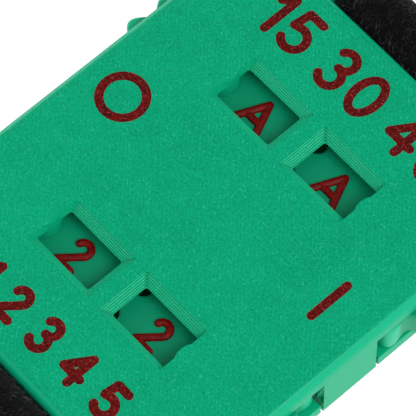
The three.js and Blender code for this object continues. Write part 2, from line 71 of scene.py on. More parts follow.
def placeCamera(view):
    # Azimuth 0 looks along +Y, and the roll turns the camera about its own line of sight
    azimuth, elevation, roll = (math.radians(view[k]) for k in ("azimuth", "elevation", "roll"))
    back = Vector((math.sin(azimuth) * math.cos(elevation),
                   -math.cos(azimuth) * math.cos(elevation), math.sin(elevation)))
    right = Vector((math.cos(azimuth), math.sin(azimuth), 0))
    up = back.cross(right)
    rolledRight = right * math.cos(roll) + up * math.sin(roll)
    rolledUp = up * math.cos(roll) - right * math.sin(roll)
    data = bpy.data.cameras.new("photoView")
    data.sensor_width = view["sensorWidth"]
    data.lens = view["pixelsPerMm"] * view["distance"] / view["pictureWidth"] * data.sensor_width
    data.clip_end = view["clipEnd"]
    camera = bpy.data.objects.new("photoView", data)
    turn = Matrix((rolledRight, rolledUp, back)).transposed().to_4x4()
    place = (Vector(view["target"]) + back * view["distance"]) * mm
    camera.matrix_world = Matrix.Translation(place) @ turn
    scene.collection.objects.link(camera)
    scene.camera = camera


placeCamera(photoCamera)
print("camera placed")


# Shader maths
class Wire:
    # A socket that takes arithmetic: every operator adds one Math node
    def __init__(self, recipe, socket):
        self.recipe, self.socket = recipe, socket

    def maths(self, operation, *others):
        sockets = dict(enumerate((self,) + others))
        return self.recipe.add("ShaderNodeMath", {"operation": operation}, sockets)

    def __add__(self, other):
        return self.maths("ADD", other)

    def __sub__(self, other):
        return self.maths("SUBTRACT", other)

    def __rsub__(self, other):
        return self.recipe.add("ShaderNodeMath", {"operation": "SUBTRACT"}, {0: other, 1: self})

    def __mul__(self, other):
        return self.maths("MULTIPLY", other)

    def __truediv__(self, other):
        return self.maths("DIVIDE", other)

    def __gt__(self, other):
        return self.maths("GREATER_THAN", other)

    __radd__ = __add__
    __rmul__ = __mul__

    def clamped(self):
        return self.recipe.add("ShaderNodeClamp", {}, {"Value": self})

    def between(self, low, high):
        # 0 below low, 1 above high, smooth in between
        return self.recipe.add("ShaderNodeMapRange", {"interpolation_type": "SMOOTHSTEP"},
                               {"Value": self, "From Min": low, "From Max": high})


class Recipe:
    # One node material: add() takes any node's type, its settings and the values or wires of its sockets
    def __init__(self, name):
        self.material = bpy.data.materials.new(name)
        self.material.use_nodes = True
        self.nodes, self.links = self.material.node_tree.nodes, self.material.node_tree.links
        self.nodes.clear()
        self.output = self.nodes.new("ShaderNodeOutputMaterial")
        self.coordinates = self.nodes.new("ShaderNodeTexCoord")

    def add(self, kind, settings, sockets, out=0):
        node = self.nodes.new(kind)
        for key, value in settings.items():
            setattr(node, key, value)
        for key, value in sockets.items():
            socket = node.inputs[key]
            if isinstance(value, Wire):
                self.links.new(value.socket, socket)
            else:
                socket.default_value = value
        return Wire(self, node.outputs[out])

    def place(self):
        return Wire(self, self.coordinates.outputs["Object"])

    def uv(self):
        return Wire(self, self.coordinates.outputs["UV"])

    def axes(self, vector):
        return [self.add("ShaderNodeSeparateXYZ", {}, {0: vector}, out=i) for i in range(3)]

    def noise(self, vector, size, detail=2.0, rough=0.5, distortion=0.0):
        # size is the pattern's scale on the piece, in metres
        return self.add("ShaderNodeTexNoise", {}, {
            "Vector": vector, "Scale": 1 / size, "Detail": detail, "Roughness": rough,
            "Distortion": distortion})

    def mix(self, factor, a, b):
        node = self.nodes.new("ShaderNodeMix")
        node.data_type = "RGBA"
        for key, value in ((0, factor), (6, a), (7, b)):
            if isinstance(value, Wire):
                self.links.new(value.socket, node.inputs[key])
            else:
                node.inputs[key].default_value = value
        return Wire(self, node.outputs[2])

    def bump(self, height, distance, strength):
        return self.add("ShaderNodeBump", {}, {
            "Height": height, "Distance": distance, "Strength": strength})

    def finish(self, **sockets):
        shader = self.add("ShaderNodeBsdfPrincipled", {}, {
            key.replace("_", " "): value for key, value in sockets.items()})
        self.links.new(shader.socket, self.output.inputs["Surface"])
        return self.material


def rgb(red, green, blue):
    # An sRGB colour as a screen shows it, 0 to 255, turned to linear light
    def channel(value):
        share = value / 255
        return share / 12.92 if share <= 0.04045 else ((share + 0.055) / 1.055) ** 2.4
    return (channel(red), channel(green), channel(blue), 1)


# Materials
printedSkin = {
    "faceColour": rgb(5, 172, 125), "deepColour": rgb(0, 138, 96), "wallColour": rgb(4, 174, 127),
    "speckColour": rgb(70, 224, 182),
    # mm: the printed lines, the patterns' sizes and the depth of the relief
    "roadWidth": 0.42, "layer": 0.2, "wanderSize": 2.5, "fadeSize": 1.7, "grain": 0.3, "cloudSize": 9,
    "speck": 0.3, "chanceSize": 0.8, "relief": 0.05,
    "topHeight": 8.93, "topFade": 0.1,  # mm, the skin of the top starts here, after a soft change
    # painted highlight on the upright fronts of the windows' steps, and painted shade in the grooves at their
    # feet
    "stepFrontHighlight": rgb(74, 214, 170), "stepGrooveShade": rgb(0, 126, 88),
    # mm: the windows' middle and half length along Y, the rib's side, how far the steps run from it,
    # how wide one is, between which heights they lie, where the first starts and how far they overlap
    "windowY": 12.9, "windowHalf": 3.45, "ribSide": 0.93, "stepRun": 9.1, "stepPitch": 0.2,
    "stepFoot": 7.98, "stepHead": 8.985, "stepShift": 0.01, "stepOver": 0.02,
    # shares of a step's width: where the painted highlight on a front ends, and across which the painted
    # groove shade fades to the face colour
    "frontHighlightSpan": (0.07, 0.13), "grooveShadeSpan": (0.1, 0.7),  # shares of a step's width
    "shine": 0.06, "wallCoat": 0.2,
}


def windowSteps(place, look):
    # 1 on the upright fronts of a window's steps, where a highlight is painted, how far a point is from the
    # groove at the foot of the
    #     # front behind it, which sets how the painted shade in that groove fades, and whether it is on the
    #     steps at all
    x, y, z = (axis / mm for axis in place)
    fromRib = x.maths("ABSOLUTE") - look["ribSide"]
    fromEnd = look["windowHalf"] - (y.maths("ABSOLUTE") - look["windowY"]).maths("ABSOLUTE")
    inset = fromRib.maths("MINIMUM", fromEnd)
    phase = ((inset + look["stepShift"]) / look["stepPitch"]).maths("FRACT")
    front, lip = 1 - phase.between(*look["frontHighlightSpan"]), phase.between(*look["grooveShadeSpan"])
    there = (inset > -look["stepOver"]) * (z > look["stepFoot"]) * (1 - (z > look["stepHead"]))
    there = there * (1 - (fromRib > look["stepRun"]))
    return front, lip, there


def grainySkin(name, look):
    # The case's first printed layer: lines at 45 degrees, fine grain and tiny bright specks;
    #     # the walls below it are smoother and show the layers; the windows' steps get a painted highlight on
    #     their upright fronts and painted shade in their grooves
    recipe = Recipe(name)
    place = recipe.place()
    x, y, z = recipe.axes(place)
    isTop = z.between((look["topHeight"] - look["topFade"]) * mm, look["topHeight"] * mm)
    roadPhase = (x + y) * (2 * math.pi / (look["roadWidth"] * math.sqrt(2) * mm))
    wander = recipe.noise(place, look["wanderSize"] * mm, 2) * 3.0
    fade = recipe.noise(place, look["fadeSize"] * mm, 2).between(0.35, 0.65)
    roads = ((roadPhase + wander).maths("SINE") * 0.5 + 0.5) * fade
    grain = recipe.noise(place, look["grain"] * mm, 2, 0.6)
    cloud = recipe.noise(place, look["cloudSize"] * mm, 3)
    layers = (z * (2 * math.pi / (look["layer"] * mm))).maths("SINE") * 0.5 + 0.5
    specks = recipe.add("ShaderNodeTexVoronoi", {"feature": "F1"}, {
        "Vector": place, "Scale": 1 / (look["speck"] * mm), "Randomness": 1.0})
    chance = recipe.noise(place, look["chanceSize"] * mm, 1)
    lit = (1 - specks.between(0.12, 0.34)) * chance.between(0.46, 0.6)
    shade = (grain - 0.5) * 2.1 + (roads - 0.25) * 0.25 + (cloud - 0.5) * 0.5 + 0.5
    face = recipe.mix(shade.clamped(), look["deepColour"], look["faceColour"])
    face = recipe.mix(lit * 0.38, face, look["speckColour"])
    wall = recipe.mix(layers * 0.25 + cloud * 0.5, look["faceColour"], look["wallColour"])
    height = (grain * 0.9 + roads * 0.35 + lit * 0.6) * isTop + layers * 0.35 * (1 - isTop)
    front, lip, onSteps = windowSteps((x, y, z), look)
    # the steps' colour: painted shade in each groove fading out towards the lip, and a painted highlight on
    # each upright front
    treadWithGrooveShade = recipe.mix(lip, look["stepGrooveShade"], look["faceColour"])
    steps = recipe.mix(front, treadWithGrooveShade, look["stepFrontHighlight"])
    return recipe.finish(
        Base_Color=recipe.mix(onSteps, recipe.mix(isTop, wall, face), steps),
        Roughness=0.42 + grain * 0.16 + isTop * 0.1 - lit * 0.2,
        Specular_IOR_Level=look["shine"], Coat_Weight=(1 - isTop) * look["wallCoat"], Coat_Roughness=0.22,
        Normal=recipe.bump(height, look["relief"] * mm, 0.8))


def wheelSkin(name, look):
    # Smoother print of the wheels: layer rings on the rim, long soft road marks on the face, and
    #     # a painted highlight that makes the lobe tips lighter, for the light they catch where they stand
    #     out of the case
    recipe = Recipe(name)
    place = recipe.place()
    x, y, z = recipe.axes(place)
    roads = (((y - x) * (2 * math.pi / (look["roadWidth"] * math.sqrt(2) * mm)))
             + recipe.noise(place, look["wanderSize"] * mm, 1) * 2.0).maths("SINE") * 0.5 + 0.5
    layers = (z * (2 * math.pi / (look["layer"] * mm))).maths("SINE") * 0.5 + 0.5
    grain = recipe.noise(place, look["grain"] * mm, 3, 0.6)
    cloud = recipe.noise(place, look["cloudSize"] * mm, 3)
    fromAxisX = x.maths("ABSOLUTE") - look["axis"][0] * mm
    fromAxisY = y.maths("ABSOLUTE") - look["axis"][1] * mm
    radius = (fromAxisX * fromAxisX + fromAxisY * fromAxisY).maths("SQRT")
    colour = recipe.mix(cloud, look["deepColour"], look["faceColour"])
    # painted highlight on the lobe tips, lighter towards the rim
    tip = radius.between(look["tipFrom"] * mm, look["tipTo"] * mm)
    return recipe.finish(
        Base_Color=recipe.mix(tip, colour, look["tipHighlightColour"]),
        Roughness=0.36 + grain * 0.14, Specular_IOR_Level=look["shine"],
        Normal=recipe.bump(roads * 0.25 + layers * 0.4 + grain * 0.2, look["relief"] * mm, 0.6))


def redPrint(name, look):
    # Red filament: fine grain, and on the case top the same bright specks as the skin around it
    recipe = Recipe(name)
    place = recipe.place()
    grain = recipe.noise(place, look["grain"] * mm, 3, 0.6)
    cloud = recipe.noise(place, look["cloudSize"] * mm, 2)
    specks = recipe.add("ShaderNodeTexVoronoi", {"feature": "F1"}, {
        "Vector": place, "Scale": 1 / (look["speck"] * mm), "Randomness": 1.0})
    chance = recipe.noise(place, look["chanceSize"] * mm, 1)
    lit = (1 - specks.between(0.12, 0.34)) * chance.between(0.42, 0.55)
    shade = (grain - 0.5) * 3.2 + cloud * 0.8 + 0.1
    base = recipe.mix(shade.clamped(), look["deepColour"], look["faceColour"])
    return recipe.finish(
        Base_Color=recipe.mix(lit * look["speckShare"], base, look["speckColour"]),
        Roughness=0.34 + grain * 0.2, Specular_IOR_Level=0.16,
        Normal=recipe.bump(grain * 0.6 + lit * 0.5, look["relief"] * mm, 0.6))


def pileFabric(name, look):
    # Ground of the brushed pile: black, in soft clumps with fine fuzz
    recipe = Recipe(name)
    place = recipe.place()
    clumps = recipe.noise(place, look["clumpSize"] * mm, 3, 0.6, 1.5)
    fuzz = recipe.noise(place, look["fuzzSize"] * mm, 3, 0.7)
    lit = (clumps.between(0.45, 0.75) * 0.5 + fuzz.between(0.5, 0.8) * 0.6).clamped()
    return recipe.finish(
        Base_Color=recipe.mix(lit, look["ground"], look["tips"]),
        Roughness=0.9, Sheen_Weight=0.03, Sheen_Roughness=0.5, Specular_IOR_Level=0.08,
        Normal=recipe.bump(clumps * 0.8 + fuzz * 0.5, look["relief"] * mm, 0.9))


def fibreFinish(name, look):
    # Nylon loops of the pile, some greyer than others
    recipe = Recipe(name)
    place = recipe.place()
    shade = recipe.noise(place, look["shadeSize"] * mm, 2)
    grain = recipe.noise(place, look["grain"] * mm, 2)
    return recipe.finish(
        Base_Color=recipe.mix(shade.between(0.35, 0.7), look["dark"], look["light"]),
        Roughness=0.35 + grain * 0.3, Specular_IOR_Level=0.4,
        Normal=recipe.bump(grain, look["relief"] * mm, 0.4))


def steelFinish(name, look):
    # Rolled or turned steel: long scratches along one direction
    recipe = Recipe(name)
    scaled = recipe.add("ShaderNodeMapping", {}, {"Vector": recipe.place(), "Scale": look["stretch"]})
    scratches = recipe.noise(scaled, look["scratchSize"] * mm, 3, 0.7)
    return recipe.finish(
        Base_Color=recipe.mix(scratches, look["colour"], look["scratchColour"]), Metallic=1.0,
        Roughness=0.28 + scratches * 0.2, Normal=recipe.bump(scratches, look["relief"] * mm, 0.5))


def threadFinish(name, look):
    # Twisted sewing thread
    recipe = Recipe(name)
    place = recipe.place()
    x, y, z = recipe.axes(place)
    twist = ((x * 2.0 + y + z) * (2 * math.pi / (look["twistPitch"] * mm))).maths("SINE") * 0.5 + 0.5
    return recipe.finish(
        Base_Color=recipe.mix(twist, look["dark"], look["light"]), Roughness=0.6,
        Sheen_Weight=0.2, Normal=recipe.bump(twist, look["relief"] * mm, 0.8))


def hookTape(name, look):
    # Moulded hook tape: rows of tiny hooks on a black ground
    recipe = Recipe(name)
    x, y, z = recipe.axes(recipe.uv())
    acrossWave = (x * (2 * math.pi / (look["rowPitch"] * mm))).maths("SINE")
    alongWave = (y * (2 * math.pi / (look["hookPitch"] * mm))).maths("SINE")
    bumps = (acrossWave * alongWave).between(0.1, 0.7)
    return recipe.finish(
        Base_Color=recipe.mix(bumps, look["ground"], look["hooks"]), Roughness=0.45,
        Normal=recipe.bump(bumps, look["relief"] * mm, 1.0))


caseGreen = grainySkin("caseGreen", printedSkin)
wheelLook = {
    **printedSkin, "faceColour": rgb(5, 160, 116), "deepColour": rgb(0, 147, 105), "shine": 0.2,
    # the lobe tips get a painted highlight colour, from radius tipFrom to tipTo
    "tipHighlightColour": rgb(26, 186, 139), "axis": (12.5, 12.9), "tipFrom": 11.1, "tipTo": 11.8,  # mm
    "wanderSize": 3, "cloudSize": 3.5, "relief": 0.03,  # mm
}
wheelGreen = wheelSkin("wheelGreen", wheelLook)
redLook = {
    "grain": 0.3, "cloudSize": 1.6, "speck": 0.24, "chanceSize": 0.6, "relief": 0.04,  # mm
    "speckColour": rgb(186, 92, 90),
}
wheelRed = redPrint("wheelRed", {
    **redLook, "faceColour": rgb(136, 9, 3), "deepColour": rgb(88, 2, 1), "speckShare": 0.1})
inlayRed = redPrint("inlayRed", {
    **redLook, "faceColour": rgb(116, 6, 2), "deepColour": rgb(52, 0, 0), "speckShare": 0.6})
strapPile = pileFabric("strapPile", {
    "ground": rgb(3, 3, 4), "tips": rgb(24, 24, 25), "clumpSize": 0.9, "fuzzSize": 0.12, "relief": 0.2})
strapFibre = fibreFinish("strapFibre", {
    "dark": rgb(8, 8, 9), "light": rgb(50, 50, 52), "shadeSize": 1.3, "grain": 0.1, "relief": 0.01})
steelLook = {"scratchColour": rgb(150, 152, 154), "scratchSize": 0.4, "relief": 0.01}
springSteel = steelFinish("springSteel", {
    **steelLook, "colour": rgb(196, 198, 200), "stretch": (0.15, 1.0, 1.0)})
screwZinc = steelFinish("screwZinc", {
    **steelLook, "colour": rgb(176, 178, 180), "stretch": (1.0, 1.0, 0.3)})
blackThread = threadFinish("blackThread", {
    "dark": rgb(14, 14, 15), "light": rgb(46, 46, 48), "twistPitch": 0.22, "relief": 0.05})
blackHooks = hookTape("blackHooks", {
    "ground": rgb(9, 9, 10), "hooks": rgb(52, 52, 54), "rowPitch": 0.6, "hookPitch": 0.5, "relief": 0.1})
print("materials made")


# Mesh helpers
quarterArc = np.linspace(0, math.pi / 2, 5)  # angles along a rounded edge


def gridFaces(rows, columns, closedRows=False, closedColumns=False):
    # Quads of a grid whose points are stored row by row
    i = np.arange(rows if closedRows else rows - 1)[:, None]
    j = np.arange(columns if closedColumns else columns - 1)[None, :]
    nextI, nextJ = (i + 1) % rows, (j + 1) % columns
    corners = [i * columns + j, nextI * columns + j, nextI * columns + nextJ, i * columns + nextJ]
    return np.stack(np.broadcast_arrays(*corners), axis=-1).reshape(-1, 4)


def scenePiece(name, mesh, material, body, replaced, crease):
    # The mesh as an object that rides a body, smooth up to the crease angle
    mesh.polygons.foreach_set("use_smooth", [True] * len(mesh.polygons))
    mesh.set_sharp_from_angle(angle=math.radians(crease))
    mesh.materials.append(material)
    piece = bpy.data.objects.new(name, mesh)
    scene.collection.objects.link(piece)
    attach(piece, body)
    if replaced:
        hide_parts(*replaced)
    return piece


def surfacePiece(name, grids, material, body, replaced=(), crease=35, weld=1e-6, uv=None):
    # One piece from (points, faces) pairs in millimetres, its doubles welded
    offset, points, faces = 0, [], []
    for gridPoints, gridQuads in grids:
        points.append(np.asarray(gridPoints, float).reshape(-1, 3) * mm)
        faces.append(gridQuads + offset)
        offset += len(points[-1])
    mesh = bpy.data.meshes.new(name)
    mesh.from_pydata(np.concatenate(points).tolist(), [], np.concatenate(faces).tolist())
    if uv is not None:
        layer = mesh.uv_layers.new(name="lie")
        corner = np.zeros(len(mesh.loops), int)
        mesh.loops.foreach_get("vertex_index", corner)
        layer.data.foreach_set("uv", (uv.reshape(-1, 2)[corner] * mm).ravel())
    work = bmesh.new()
    work.from_mesh(mesh)
    bmesh.ops.remove_doubles(work, verts=work.verts, dist=weld)
    bmesh.ops.dissolve_degenerate(work, edges=work.edges, dist=weld / 10)
    work.to_mesh(mesh)
    work.free()
    return scenePiece(name, mesh, material, body, replaced, crease)


# Case
caseLook = {
    "stepEdge": 0.08, "plateEdge": 0.2, "screwEdge": 0.12,  # mm
    "stepFoot": 7.9, "windowReachX": 11.0, "windowY": 12.9, "windowReachY": 3.7,  # mm
    "crease": 32, "hardAngle": 35, "flatAngle": 1,  # degrees
    "edgeSteps": 2, "weld": 2e-6,  # faces across a rounded edge, and metres
}


def dressedCopy(node, name, material, body, edge, chosen=None):
    # A CAD node's own shape with its flat faces joined and its hard edges rounded by edge millimetres;
    # chosen tells from an edge's middle, in millimetres, whether it is rounded
    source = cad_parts[node].data
    points = np.empty(len(source.vertices) * 3)
    source.vertices.foreach_get("co", points)
    mesh = bpy.data.meshes.new(name)
    mesh.from_pydata(points.reshape(-1, 3).tolist(), [], [list(p.vertices) for p in source.polygons])
    work = bmesh.new()
    work.from_mesh(mesh)
    bmesh.ops.remove_doubles(work, verts=work.verts, dist=caseLook["weld"])
    bmesh.ops.dissolve_limit(work, angle_limit=math.radians(caseLook["flatAngle"]), verts=work.verts,
                             edges=work.edges)
    weight = work.edges.layers.float.new("bevel_weight_edge")
    for line in work.edges:
        middle = (line.verts[0].co + line.verts[1].co) / 2 / mm
        hard = line.is_convex and line.calc_face_angle(0) > math.radians(caseLook["hardAngle"])
        line[weight] = 1.0 if hard and (chosen is None or chosen(middle)) else 0.0
    work.to_mesh(mesh)
    work.free()
    piece = scenePiece(name, mesh, material, body, [node], caseLook["crease"])
    rounding = piece.modifiers.new("rounded edges", "BEVEL")
    rounding.width, rounding.segments = edge * mm, caseLook["edgeSteps"]
    rounding.limit_method = "WEIGHT"
    rounding.harden_normals = True


def isWindowStep(middle):
    # Whether an edge's middle, in millimetres, lies on the steps of a window
    return (middle.z > caseLook["stepFoot"] and abs(middle.x) < caseLook["windowReachX"]
            and abs(abs(middle.y) - caseLook["windowY"]) < caseLook["windowReachY"])


dressedCopy("top_cover", "cover_shell", caseGreen, "case", caseLook["stepEdge"], isWindowStep)
dressedCopy("base_plate", "plate_and_lugs", caseGreen, "case", caseLook["plateEdge"])
wheelNames = ["points_wheel_left", "points_wheel_right", "games_wheel_left", "games_wheel_right"]
for wheelName in wheelNames:
    screwNode = wheelName.replace("wheel", "screw")
    dressedCopy(screwNode, screwNode + "_turned", screwZinc, "case", caseLook["screwEdge"])
    # the springs keep their CAD mesh and only take the steel
    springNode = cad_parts[wheelName.replace("wheel", "click_spring")]
    springNode.data.materials.clear()
    springNode.data.materials.append(springSteel)
print("case dressed")

# Wheels
wheelShape = {
    "offsetX": 12.5, "offsetY": 12.9, "tip": 12.35, "valley": 10.9,
    "bottom": 2.0, "top": 5.8, "bore": 2.1, "faceRings": (6.0, 9.8), "rimRound": 0.35,
    "channelMiddle": 9.0, "channelWidth": 2.6, "channelDepth": 0.8,
    "pointLobes": 15, "gameLobes": 16, "stepsPerLobe": 14, "crease": 50,
    "lobeTurn": {"games_wheel_left": 13.0, "games_wheel_right": -2.6},  # degrees, the rest stand straight
}


def wheelPlace(name):
    side = 1 if "right" in name else -1
    end = 1 if "points" in name else -1
    return side, end, np.array([side * wheelShape["offsetX"], end * wheelShape["offsetY"], 0.0])


def wheelGrid(name, shape):
    # Profile revolved about the wheel's axis; its radius near the rim is the middle radius plus the
    # swing times the cosine of the lobe count times the angle.
    # The profile runs up the bore, out over the face, down the rounded rim and back along the
    # underside with its channel.
    side, end, centre = wheelPlace(name)
    lobes = shape["pointLobes"] if end > 0 else shape["gameLobes"]
    turn = np.arange(lobes * shape["stepsPerLobe"]) / (lobes * shape["stepsPerLobe"]) * 2 * math.pi
    middle, swing = (shape["tip"] + shape["valley"]) / 2, (shape["tip"] - shape["valley"]) / 2
    rim = middle + swing * np.cos(lobes * turn)
    rounded = shape["rimRound"]
    inner = shape["channelMiddle"] - shape["channelWidth"] / 2
    outer = shape["channelMiddle"] + shape["channelWidth"] / 2
    deep = shape["bottom"] + shape["channelDepth"]
    # each entry: fixed radius, share of the rim radius, inset from the rim, height
    profile = [(shape["bore"], 0, 0, shape["bottom"]), (shape["bore"], 0, 0, shape["top"])]
    profile += [(radius, 0, 0, shape["top"]) for radius in shape["faceRings"]]
    profile += [(0, 1, rounded * (1 - math.sin(a)), shape["top"] - rounded * (1 - math.cos(a)))
                for a in quarterArc]
    profile += [(0, 1, rounded * (1 - math.cos(a)), shape["bottom"] + rounded * (1 - math.sin(a)))
                for a in quarterArc]
    profile += [(outer, 0, 0, shape["bottom"]), (outer, 0, 0, deep), (inner, 0, 0, deep),
                (inner, 0, 0, shape["bottom"])]
    fixed, share, inset, height = (np.array(column, float)[:, None] for column in zip(*profile))
    radius = fixed + share * rim[None, :] - inset
    start = (math.pi if side > 0 else 0.0) + math.radians(shape["lobeTurn"].get(name, 0.0))
    points = np.stack([radius * np.cos(turn + start), radius * np.sin(turn + start),
                       np.broadcast_to(height, radius.shape)], axis=-1) + centre
    return points, gridFaces(len(profile), len(turn), True, True)[:, ::-1]


for wheelName in wheelNames:
    surfacePiece(wheelName + "_lobed", [wheelGrid(wheelName, wheelShape)], wheelGreen, wheelName,
                 [wheelName], wheelShape["crease"])
print("wheels made")

# Characters
# Centre lines as shares of the height between the outer centre lines; each stroke is smooth,
# and strokes meet at the corners
glyphStrokes = {
    "0": {"width": 0.6, "rings": [(0.3, 0.5, 0.3, 0.5)]},
    "1": {"width": 0.26, "strokes": [[(0, 0.78), (0.26, 1)], [(0.26, 1), (0.26, 0)]]},
    "2": {"width": 0.6, "strokes": [[("arc", 0.335, 0.76, 0.24, 165, -40), (0, 0)], [(0, 0), (0.6, 0)]]},
    "3": {"width": 0.56, "strokes": [[("arc", 0.28, 0.76, 0.24, 150, -90)],
                                     [("arc", 0.27, 0.26, 0.27, 90, -150)]]},
    "4": {"width": 0.64, "strokes": [[(0.46, 0), (0.46, 1)], [(0.46, 1), (0, 0.3)], [(0, 0.3), (0.64, 0.3)]]},
    "5": {"width": 0.58, "strokes": [[(0.52, 1), (0.1, 1)], [(0.1, 1), (0.04, 0.55)],
                                     [(0.04, 0.55), ("arc", 0.28, 0.31, 0.3, 115, -145)]]},
    "6": {"width": 0.6, "rings": [(0.3, 0.29, 0.3, 0.29)],
          "strokes": [[(0.5, 1), (0.34, 0.88), (0.22, 0.76), (0.12, 0.62), (0.05, 0.48), (0, 0.3)]]},
    "A": {"width": 0.9, "strokes": [[(0, 0), (0.45, 1)], [(0.45, 1), (0.9, 0)],
                                    [(0.14, 0.31), (0.76, 0.31)]]},
}
lettering = {
    "glyphGap": 0.09, "wordGap": 0.33,  # shares of the height
    "domeShares": (0.66, 0.33, 0),  # of half a stroke, where its domed face has points
    "wheelHeight": 4.45, "wheelStroke": 0.86, "wheelSpread": 0.02, "wheelRise": 0.4, "wheelEdge": 0.32,
    "wheelSunk": 0.1, "wheelCrown": 0.04,  # mm below the wheel's face, and the doming of a character
    "rowStroke": 1.2, "inlayDepth": 0.6, "inlaySpread": -0.07, "inlayRise": 0.02, "inlayEdge": 0.04,
    "strokeLift": 0.0015, "inlayCrown": 0.012, "collarSpread": 0.16, "collarRise": 0.004, "collarEdge": 0.002,
    "topRow": {"text": "15 30 40", "height": 6.1, "y": 22.05},
    "bottomRow": {"text": "1 2 3 4 5", "height": 5.0, "y": -22.4},
    "ring": {"x": -16.5, "y": 2.45, "height": 6.4}, "bar": {"x": 16.5, "y": 2.45, "height": 6.4},
    "caseTop": 9.0, "capSteps": 8, "arcSteps": 22, "ringSteps": 56,
}


def strokeLine(steps, rise):
    # A stroke's centre line in millimetres, its straight stretches and arcs in fine steps
    points = []
    for step in steps:
        if step[0] == "arc":
            angle = np.radians(np.linspace(step[4], step[5], lettering["arcSteps"]))
            centreX, centreY, radius = step[1:4]
            points.append(np.stack([centreX + radius * np.cos(angle), centreY + radius * np.sin(angle)], 1))
        else:
            points.append(np.array([step], float))
    return np.concatenate(points) * rise


def stampProfile(half, base, top, edge, crown):
    # Distance from the centre line and height, from the middle of the foot, out, up the side,
    # over a rounded edge and in to the middle of a slightly domed face
    inwards = np.array(lettering["domeShares"])
    reach = np.concatenate([[0, half], half - edge * (1 - np.cos(quarterArc)), (half - edge) * inwards])
    height = np.concatenate([[base, base], top - edge + edge * np.sin(quarterArc),
                             top + crown * (1 - inwards ** 2)])
    return reach, height


def openStroke(line, half, base, top, edge, crown):
    # A point of the surface is the centre line plus the profile's reach along the direction that
    # goes once round the stroke: forward on its right, round the end, back on its left, round the start
    along = np.gradient(line, axis=0)
    along /= np.linalg.norm(along, axis=1)[:, None]
    right = np.stack([along[:, 1], -along[:, 0]], 1)
    fan = np.linspace(0, math.pi, lettering["capSteps"] + 1)[1:-1, None]
    endFan = right[-1] * np.cos(fan) + along[-1] * np.sin(fan)
    startFan = -right[0] * np.cos(fan) - along[0] * np.sin(fan)
    centre = np.concatenate([line, np.repeat(line[-1:], len(fan), 0),
                             line[::-1], np.repeat(line[:1], len(fan), 0)])
    outward = np.concatenate([right, endFan, -right[::-1], startFan])
    reach, height = stampProfile(half, base, top, edge, crown)
    flat = centre[None] + outward[None] * reach[:, None, None]
    points = np.concatenate([flat, np.broadcast_to(height[:, None, None], flat.shape[:2] + (1,))], -1)
    return points, gridFaces(len(reach), len(centre), False, True)[:, ::-1]


def ringStroke(x, y, radiusX, radiusY, half, base, top, edge, crown):
    # An ellipse with the stamp profile on both sides of its line
    turn = np.arange(lettering["ringSteps"]) / lettering["ringSteps"] * 2 * math.pi
    outward = np.stack([np.cos(turn), np.sin(turn)], 1)
    centre = outward * [radiusX, radiusY] + [x, y]
    reach, height = stampProfile(half, base, top, edge, crown)
    reach = np.concatenate([reach[1:], -reach[-2:0:-1]])
    height = np.concatenate([height[1:], height[-2:0:-1]])
    flat = centre[None] + outward[None] * reach[:, None, None]
    points = np.concatenate([flat, np.broadcast_to(height[:, None, None], flat.shape[:2] + (1,))], -1)
    return points, gridFaces(len(reach), len(turn), True, True)[:, ::-1]


def glyphGrids(character, height, stroke, spread, base, top, edge, crown):
    # A character's strokes and rings; those that cross don't share one height
    glyph, rise, half = glyphStrokes[character], height - stroke, stroke / 2 + spread
    shape = (half, base, top, edge, crown)
    grids = [openStroke(strokeLine(steps, rise), *shape) for steps in glyph.get("strokes", [])]
    grids += [ringStroke(*(v * rise for v in ring), *shape) for ring in glyph.get("rings", [])]
    return [(points + [0, 0, index * lettering["strokeLift"]], faces)
            for index, (points, faces) in enumerate(grids)]


def rowOffsets(text, height, stroke):
    # Where each character's centre lines start, so that the row is centred
    rise, gap = height - stroke, stroke + lettering["glyphGap"] * height
    pen, starts = 0.0, []
    for character in text:
        if character == " ":
            pen += (lettering["wordGap"] - lettering["glyphGap"]) * height
        else:
            starts.append((character, pen))
            pen += glyphStrokes[character]["width"] * rise + gap
    return [(character, start - (pen - gap) / 2, -rise / 2) for character, start in starts]


def moved(grid, shift=(0, 0), turn=0.0, centre=(0, 0)):
    # The grid shifted, then turned about the origin by turn degrees, then put at a centre
    points, faces = grid
    angle = math.radians(turn)
    spin = np.array([[math.cos(angle), -math.sin(angle)], [math.sin(angle), math.cos(angle)]])
    placed = points.copy()
    placed[..., :2] = (points[..., :2] + shift) @ spin.T + centre
    return placed, faces


wheelLabels = {  # shown counts from 0, radius and shift in mm
    1: {"labels": ["0", "15", "30", "40", "A"], "shown": 4, "radius": 6.45, "shift": -0.15},
    -1: {"labels": ["0", "1", "2", "3", "4", "5", "6"], "shown": 2, "radius": 6.15, "shift": -0.45},
}
for wheelName in wheelNames:
    side, end, centre = wheelPlace(wheelName)
    look = wheelLabels[end]
    order = -1 if wheelName == "games_wheel_left" else 1
    labels, reachOut = look["labels"], look["shift"] - side * look["radius"]
    shape = (wheelShape["top"] - lettering["wheelSunk"], wheelShape["top"] + lettering["wheelRise"],
             lettering["wheelEdge"], lettering["wheelCrown"])
    for index, label in enumerate(labels):
        row = rowOffsets(label, lettering["wheelHeight"], lettering["wheelStroke"])
        for digit, (character, x, y) in enumerate(row):
            grids = glyphGrids(character, lettering["wheelHeight"], lettering["wheelStroke"],
                               lettering["wheelSpread"], *shape)
            turn = order * (index - look["shown"]) * 360 / len(labels)
            turned = [moved(g, (x + reachOut, y), turn, centre[:2]) for g in grids]
            node = f"{wheelName}_numeral_{label}" + (f"_{digit + 1}" if len(row) > 1 else "")
            surfacePiece(node + "_raised", turned, wheelRed, wheelName, [node])

collarTop = lettering["caseTop"] + lettering["collarRise"]
inlayBase, inlayTop = lettering["caseTop"] - lettering["inlayDepth"], collarTop + lettering["inlayRise"]
inlayShape = (inlayBase, inlayTop, lettering["inlayEdge"], lettering["inlayCrown"])
collarShape = (inlayBase, collarTop, lettering["collarEdge"], 0.0)


